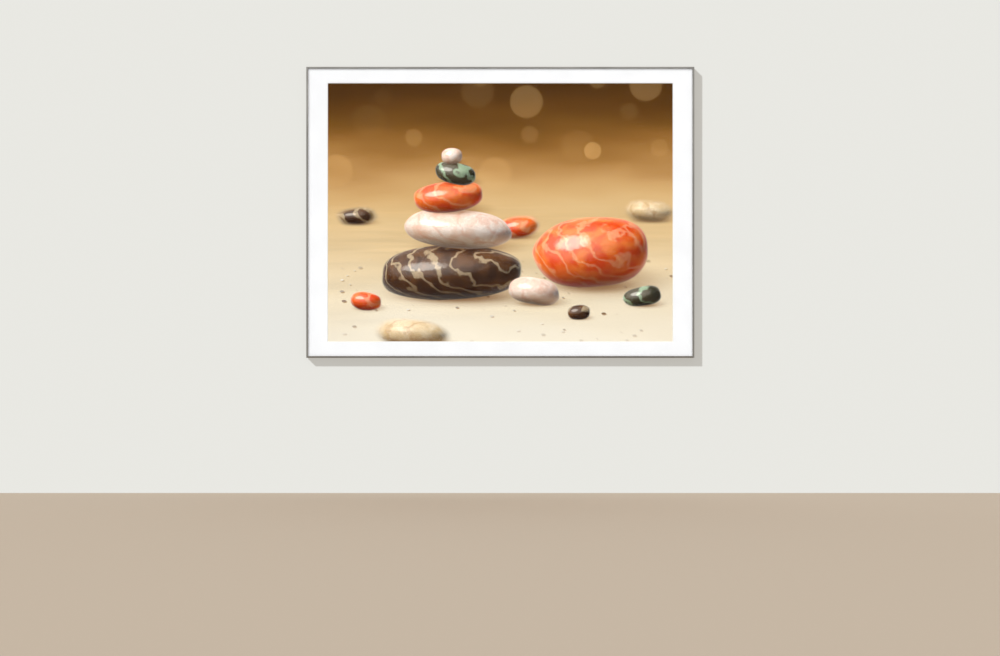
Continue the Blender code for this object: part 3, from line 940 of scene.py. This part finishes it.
def bowed_spring(add, given):
    """A bowed strip with rounded corners and bent tips, on each point."""
    length, width = given["Strip Length"], given["Strip Width"]
    sheet = add("grid", Size_X=length, Size_Y=width, Vertices_X=45, Vertices_Y=9)
    spot = add("separate", add("position")).outputs
    along, across = spot["X"], spot["Y"]
    distance = add("absolute", along)
    half_length, half_width = [add("multiply", size, 0.5) for size in (length, width)]
    # The half width falls off along a quarter circle at each corner
    corner = given["Corner Round"]
    into = add("clamped subtract", distance, add("subtract", half_length, corner))
    rest = add("clamped subtract", add("multiply", corner, corner), add("multiply", into, into))
    reach = add("add", add("subtract", add("sqrt", rest), corner), half_width)
    wide = add("multiply", add("divide", across, half_width), reach)
    run = add("divide", distance, half_length)
    bow = add("multiply", add("power", run, 2.0), given["Bow"])
    tip = add("power", add("range", run, SPRING_TIP_START, 1.0), 2.0)
    depth = add("subtract", bow, add("multiply", tip, given["Tip Bend"]))
    sheet = add("store vector", sheet, Name="strip_run", Value=(along, across, 0))
    bent = add("set position", sheet, Position=(along, depth, wide))
    thickness = given["Strip Thickness"]
    raised = add("extrude", bent, Offset=(0, 1, 0), Offset_Scale=thickness, Individual=False)
    strip = add("weld", add("join", [raised, add("flip", bent)]), Distance=WELD)
    return on_points(add, given, strip)


def make_springs(material):
    """All springs as one mesh: their bellies on the backing board, their ends behind the channel."""
    width = SPRING_HIGH.z - SPRING_LOW.z
    inset = SPRING_LOW.z - cad_low.z + width / 2
    places = []
    for side, length, across, turn in SIDES:
        row = LONG_RAIL_SPRINGS if length == WIDTH else SHORT_RAIL_SPRINGS
        for number, along in enumerate(row, 1):
            spot = Vector((along, SPRING_LOW.y, inset - across / 2))
            spot.rotate(Euler((0, turn, 0)))
            places.append((spot + Vector((0, 0, MIDDLE_Z)), turn, f"spring_{side}_{number}"))
    sizes = {
        "Strip Length": SPRING_HIGH.x - SPRING_LOW.x,
        "Strip Width": width,
        "Strip Thickness": SPRING_THICKNESS,
        "Corner Round": SPRING_CORNER,
        "Bow": SPRING_HIGH.y - SPRING_THICKNESS - SPRING_LOW.y,
        "Tip Bend": SPRING_TIP,
    }
    grow_at(places, "package_springs", "spring_steel", bowed_spring, sizes, material, SPRING_EDGE)


def slotted_screw(add, given):
    """A slotted screw on each point, its face at the point and looking along +Y."""
    face, neck, height = given["Face Radius"], given["Neck Radius"], given["Head Height"]
    shank = given["Shank Length"]
    head = add("cone", Vertices=ROUND_SIDES, Radius_Top=face, Radius_Bottom=neck, Depth=height)
    depth = add("multiply", height, -1.0)
    head = add("transform", head, Translation=(0, 0, depth))
    root = add("subtract", neck, given["Thread Depth"])
    core = add("cylinder", Vertices=ROUND_SIDES, Radius=root, Depth=shank)
    middle = add("add", add("add", add("multiply", shank, -0.5), depth), SCREW_OVERLAP)
    core = add("transform", core, Translation=(0, 0, middle))
    # The slot's cutter runs past the face on every side
    slot_length = add("multiply", face, 4.0)
    slot_depth = add("multiply", given["Slot Depth"], 2.0)
    slot = add("cube", Size=(slot_length, given["Slot Width"], slot_depth))
    body = add("cut", add("union", [head, core]), slot)
    turns = add("divide", shank, given["Thread Pitch"])
    helix = add("spiral", Resolution=24, Rotations=turns, Start_Radius=root, End_Radius=root, Height=shank)
    ridge = add("circle", Resolution=4, Radius=given["Thread Depth"])
    thread = add("sweep", helix, ridge, Fill_Caps=True)
    thread = add("transform", thread, Translation=(0, 0, add("subtract", depth, shank)))
    screw = add("transform", add("join", [thread, body]), Rotation=(-math.pi / 2, 0, 0))
    return on_points(add, given, screw)


def make_screws(material):
    """The eight set screws in the corner plates, and the hanger's two countersunk screws."""
    places = []
    flat_turn, upright_turn = SET_SCREW_TURNS
    legs = (
        ("flat", SCREW_INSET, CHANNEL_MIDDLE, flat_turn),
        ("upright", CHANNEL_MIDDLE, SCREW_INSET, upright_turn),
    )
    for row, up in (("bottom", 1), ("top", -1)):
        for column, right in (("left", 1), ("right", -1)):
            for leg, x, z, turn in legs:
                corner_x = -right * WIDTH / 2
                corner_z = MIDDLE_Z - up * HEIGHT / 2
                point = (corner_x + right * x, BACK - SCREW_GAP, corner_z + up * z)
                places.append((point, math.radians(right * turn), f"set_screw_{row}_{column}_{leg}"))
    sizes = {
        "Face Radius": SET_SCREW_RADIUS - SCREW_CHAMFER,
        "Neck Radius": SET_SCREW_RADIUS,
        "Head Height": SCREW_CHAMFER,
        "Shank Length": BACK - CHANNEL_FLOOR - 2 * SCREW_GAP - SCREW_CHAMFER,
        "Thread Pitch": SET_SCREW_PITCH,
        "Thread Depth": THREAD_DEPTH,
        "Slot Width": DRIVER_SLOT_WIDTH,
        "Slot Depth": DRIVER_SLOT_DEPTH,
    }
    grow_at(places, "set_screws", "zinc_plated_steel", slotted_screw, sizes, material)
    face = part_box("hanger_screw_left")[1].y
    head_height = HEAD_RADIUS - M3_RADIUS
    places = []
    for column, side, turn in zip(("left", "right"), (-1, 1), HANGER_SCREW_TURNS):
        point = (side * HANGER_SCREW_SPREAD / 2, face, cad_high.z - CHANNEL_MIDDLE)
        places.append((point, math.radians(turn), f"hanger_screw_{column}"))
    sizes |= {
        "Face Radius": HEAD_RADIUS,
        "Neck Radius": M3_RADIUS,
        "Head Height": head_height,
        "Shank Length": face - head_height - CHANNEL_FLOOR - SCREW_GAP,
        "Thread Pitch": M3_PITCH,
    }
    grow_at(places, "hanger_screws", "zinc_plated_steel", slotted_screw, sizes, material)


def corner_plate(add, given):
    """An L plate with a hole for a set screw in each leg, its outer corner at the point."""
    leg, width, thickness = given["Leg"], given["Leg Width"], given["Plate Thickness"]
    half_leg, half_width = [add("multiply", size, 0.5) for size in (leg, width)]
    flat = add("cube", Size=(leg, thickness, width))
    flat = add("transform", flat, Translation=(half_leg, 0, half_width))
    tall = add("cube", Size=(width, thickness, leg))
    tall = add("transform", tall, Translation=(half_width, 0, half_leg))
    bore = add("cylinder", Vertices=40, Radius=given["Hole Radius"], Depth=CUTTER_LENGTH)
    bore = add("transform", bore, Rotation=(math.pi / 2, 0, 0))
    inset = given["Hole Inset"]
    first = add("transform", bore, Translation=(inset, 0, half_width))
    second = add("transform", bore, Translation=(half_width, 0, inset))
    plate = add("cut", add("union", [flat, tall]), [first, second])
    return on_points(add, given, plate)


def make_corner_plates(material):
    middle_y = (PLATE_LOW.y + PLATE_HIGH.y) / 2
    far_x = WIDTH / 2 - PLATE_INSET
    far_z = HEIGHT / 2 - PLATE_INSET
    quarter = math.pi / 2
    places = (
        ((-far_x, middle_y, MIDDLE_Z - far_z), 0.0, "corner_plate_bottom_left"),
        ((far_x, middle_y, MIDDLE_Z - far_z), -quarter, "corner_plate_bottom_right"),
        ((-far_x, middle_y, MIDDLE_Z + far_z), quarter, "corner_plate_top_left"),
        ((far_x, middle_y, MIDDLE_Z + far_z), 2 * quarter, "corner_plate_top_right"),
    )
    sizes = {
        "Leg": PLATE_HIGH.x - PLATE_LOW.x,
        "Leg Width": CHANNEL_REACH - 2 * PLATE_INSET,
        "Plate Thickness": PLATE_HIGH.y - PLATE_LOW.y,
        "Hole Radius": SET_SCREW_RADIUS + SCREW_GAP / 2,
        "Hole Inset": SCREW_INSET - PLATE_INSET,
    }
    grow_at(places, "corner_plates", "zinc_plated_steel", corner_plate, sizes, material, STAMPED_EDGE)


def sawtooth_hanger(add, given):
    """A stamped plate with a row of teeth along its lower edge and two countersunk holes."""
    height, thickness = given["Plate Height"], given["Plate Thickness"]
    outline = add("rectangle", Width=given["Plate Width"], Height=height)
    face = add("fill", add("fillet", outline, Radius=given["Corner Round"], Count=8))
    raised = add("extrude", face, Offset=(0, 0, 1), Offset_Scale=thickness, Individual=False)
    plate = add("weld", add("join", [raised, add("flip", face)]), Distance=WELD)
    # Each notch is a square bar on its edge, squeezed to the tooth's width and depth
    pitch, count = given["Tooth Pitch"], given["Tooth Count"]
    notch = add("cube", Size=(math.sqrt(0.5), math.sqrt(0.5), CUTTER_LENGTH))
    notch = add("transform", notch, Rotation=(0, 0, math.pi / 4))
    notch_width = add("multiply", pitch, NOTCH_SHARE)
    notch_height = add("multiply", given["Tooth Depth"], 2.0)
    notch = add("transform", notch, Scale=(notch_width, notch_height, 1))
    span = add("multiply", add("subtract", count, 1), pitch)
    row_start = (add("multiply", span, -0.5), add("multiply", height, -0.5), 0)
    row = add("points in line", Count=count, Start_Location=row_start, Offset=(pitch, 0, 0))
    # The countersinks open towards the wall, which is the plate's underside here
    mouth, hole, spread = given["Mouth Radius"], given["Hole Radius"], given["Screw Spread"]
    slope = add("subtract", mouth, hole)
    sink = add("cone", Vertices=ROUND_SIDES, Radius_Top=hole, Radius_Bottom=mouth, Depth=slope)
    bore = add("cylinder", Vertices=ROUND_SIDES, Radius=hole, Depth=CUTTER_LENGTH)
    first = (add("multiply", spread, -0.5), given["Screw Height"], 0)
    spots = add("points in line", Count=2, Start_Location=first, Offset=(spread, 0, 0))
    for places, cutter in ((row, notch), (spots, sink), (spots, bore)):
        plate = add("cut", plate, add("realize", add("instances", places, cutter)))
    return add("transform", plate, Rotation=(math.pi / 2, 0, 0))


def make_hanger(material):
    low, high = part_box("hanger")
    sizes = {
        "Plate Width": high.x - low.x,
        "Plate Height": high.z - low.z,
        "Plate Thickness": high.y - low.y,
        "Corner Round": HANGER_CORNER,
        "Tooth Pitch": TOOTH_PITCH,
        "Tooth Depth": TOOTH_DEPTH,
        "Tooth Count": TOOTH_COUNT,
        "Screw Spread": HANGER_SCREW_SPREAD,
        "Screw Height": cad_high.z - CHANNEL_MIDDLE,
        "Mouth Radius": HEAD_RADIUS + SCREW_GAP,
        "Hole Radius": M3_RADIUS + SCREW_GAP / 2,
    }
    hanger = new_object("sawtooth_hanger", bpy.data.meshes.new("sawtooth_hanger"))
    fit(grow(hanger, sawtooth_hanger, sizes, material, STAMPED_EDGE), "zinc_plated_steel", "hanger")


def felt_pad(add, given):
    """A felt disc on each point, its face at the wall, with loose fibres round its side."""
    radius, thickness, seed = given["Pad Radius"], given["Pad Thickness"], given["Seed"]
    disc = add("cylinder", Vertices=64, Side_Segments=8, Fill_Segments=12, Radius=radius, Depth=thickness)
    normal = add("normal")
    lumps = add("range", add("noise", Scale=1400, Detail=3), 0, 1, -2.0, 0.0)
    push = add("scale", normal, add("multiply", lumps, given["Fuzz"]))
    disc = add("set position", disc, Offset=push)
    on_side = add("less than", add("absolute", add("separate", normal).outputs["Z"]), 0.3)
    roots = add("scatter", disc, Selection=on_side, Density=given["Fibre Density"], Seed=seed).outputs
    fibre_radius, fibre_length = given["Fibre Radius"], given["Fibre Length"]
    fibre = add("cone", Vertices=3, Radius_Top=0.0, Radius_Bottom=fibre_radius, Depth=fibre_length)
    fibres = add("instances", roots["Points"], fibre, Rotation=roots["Rotation"])
    lean = add("random vector", (-PAD_FIBRE_LEAN,) * 3, (PAD_FIBRE_LEAN,) * 3, Seed=seed)
    fibres = add("turn instances", fibres, Rotation=lean)
    whole = add("realize", add("join", [fibres, disc]))
    # The wall and the rail hold the fibres between the pad's two faces
    spot = add("separate", add("position")).outputs
    upper, lower = [add("multiply", thickness, half) for half in (0.5, -0.5)]
    held = (spot["X"], spot["Y"], add("clamp", spot["Z"], lower, upper))
    pad = add("set position", whole, Position=held)
    pad = add("transform", pad, Rotation=(-math.pi / 2, 0, 0))
    return on_points(add, given, pad)


def make_pads(material):
    low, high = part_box("bumper_left")
    middle_x, middle_y, middle_z = (low + high) / 2
    places = (
        ((middle_x, middle_y, middle_z), 0.0, "bumper_left"),
        ((-middle_x, middle_y, middle_z), PAD_TURN, "bumper_right"),
    )
    sizes = {
        "Pad Radius": PAD_RADIUS,
        "Pad Thickness": high.y - low.y,
        "Fuzz": PAD_FUZZ,
        "Fibre Length": PAD_FIBRE_LENGTH,
        "Fibre Radius": PAD_FIBRE_RADIUS,
        "Fibre Density": PAD_FIBRES_PER_SQUARE_METRE,
        "Seed": PAD_SEED,
    }
    grow_at(places, "felt_pads", "grey_felt", felt_pad, sizes, material)


def make_mat(paper, core):
    """The mat board: a window cut at 45 degrees, with the cut's arris slightly rounded by handling."""
    low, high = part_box("window_mat")
    half_board = ((high.x - low.x) / 2, (high.z - low.z) / 2)
    half_window = (PICTURE_WIDTH / 2, PICTURE_HEIGHT / 2)
    # Each ring: half width and half height of a rectangle, its y, and the material of the faces up to it
    rings = [(*half_board, low.y, 0)]
    turn = math.pi / 4
    reach = CUT_ROUND * math.tan(turn / 2)
    for step in range(CUT_ROUND_STEPS + 1):
        angle = turn * step / CUT_ROUND_STEPS
        spread = high.y - low.y + reach - CUT_ROUND * math.sin(angle)
        depth = CUT_ROUND * (1 - math.cos(angle))
        rings.append((half_window[0] + spread, half_window[1] + spread, low.y + depth, 1 if step else 0))
    rings.append((*half_window, high.y, 1))
    rings.append((*half_board, high.y, 0))
    signs = ((-1, -1), (1, -1), (1, 1), (-1, 1))
    bm = bmesh.new()
    corners = [[bm.verts.new((sx * w, y, MIDDLE_Z + sz * h)) for sx, sz in signs] for w, h, y, _ in rings]
    for k, ring in enumerate(corners):
        following = corners[(k + 1) % len(corners)]
        for side in range(4):
            after = (side + 1) % 4
            board_face = bm.faces.new((ring[side], ring[after], following[after], following[side]))
            board_face.material_index = rings[(k + 1) % len(rings)][3]
    bmesh.ops.recalc_face_normals(bm, faces=bm.faces)
    mesh = bpy.data.meshes.new("cut_window_mat")
    bm.to_mesh(mesh)
    bm.free()
    mesh.materials.append(paper)
    mesh.materials.append(core)
    fit(new_object("cut_window_mat", smoothed(mesh)), "white_mat_board", "window_mat")


def make_print(material):
    """The print: a thin sheet whose front fills nearly all of its texture map.

    Its back and its four edges share a strip along the foot of the map.
    """
    low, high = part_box("print")
    mesh = bpy.data.meshes.new("printed_sheet")
    corners = [(x, y, z) for y in (low.y, high.y) for z in (low.z, high.z) for x in (low.x, high.x)]
    front = (0, 1, 3, 2)
    back = (5, 4, 6, 7)
    edges = ((4, 5, 1, 0), (2, 3, 7, 6), (4, 0, 2, 6), (1, 5, 7, 3))
    mesh.from_pydata(corners, [], [front, back, *edges])
    strip_top = MAP_STRIP - MAP_GAP
    patches = [(MAP_GAP, MAP_STRIP, 1 - MAP_GAP, 1 - MAP_GAP), (MAP_GAP, MAP_GAP, 0.5, strip_top)]
    for k in range(len(edges)):
        start = 0.5 + MAP_GAP + k * MAP_EDGE_WIDTH
        patches.append((start, MAP_GAP, start + MAP_EDGE_WIDTH - MAP_GAP, strip_top))
    layout = mesh.uv_layers.new(name="OFBake")
    for polygon, (left, bottom, right, top) in zip(mesh.polygons, patches):
        places = ((left, bottom), (right, bottom), (right, top), (left, top))
        for loop, place in zip(polygon.loop_indices, places):
            layout.data[loop].uv = place
    mesh.materials.append(material)
    fit(new_object("printed_sheet", mesh), "printed_paper", "print")


def repaint(node, material):
    """A CAD node whose shape is right gets its finish."""
    for slot in bpy.data.objects[node].material_slots:
        slot.material = material


def main():
    make_stage(make_camera())
    paper = mat_face_paper()
    zinc = zinc_plated_steel()
    make_rails(anodised_aluminium())
    make_mat(paper, mat_core())
    make_springs(spring_steel())
    make_corner_plates(zinc)
    make_screws(zinc)
    make_hanger(zinc)
    make_pads(wool_felt())
    make_print(pigment_print())
    repaint("glazing", coated_acrylic())
    repaint("mount_board", paper)
    repaint("backing_board", hardboard())
    repaint("nut_bar", zinc)


main()
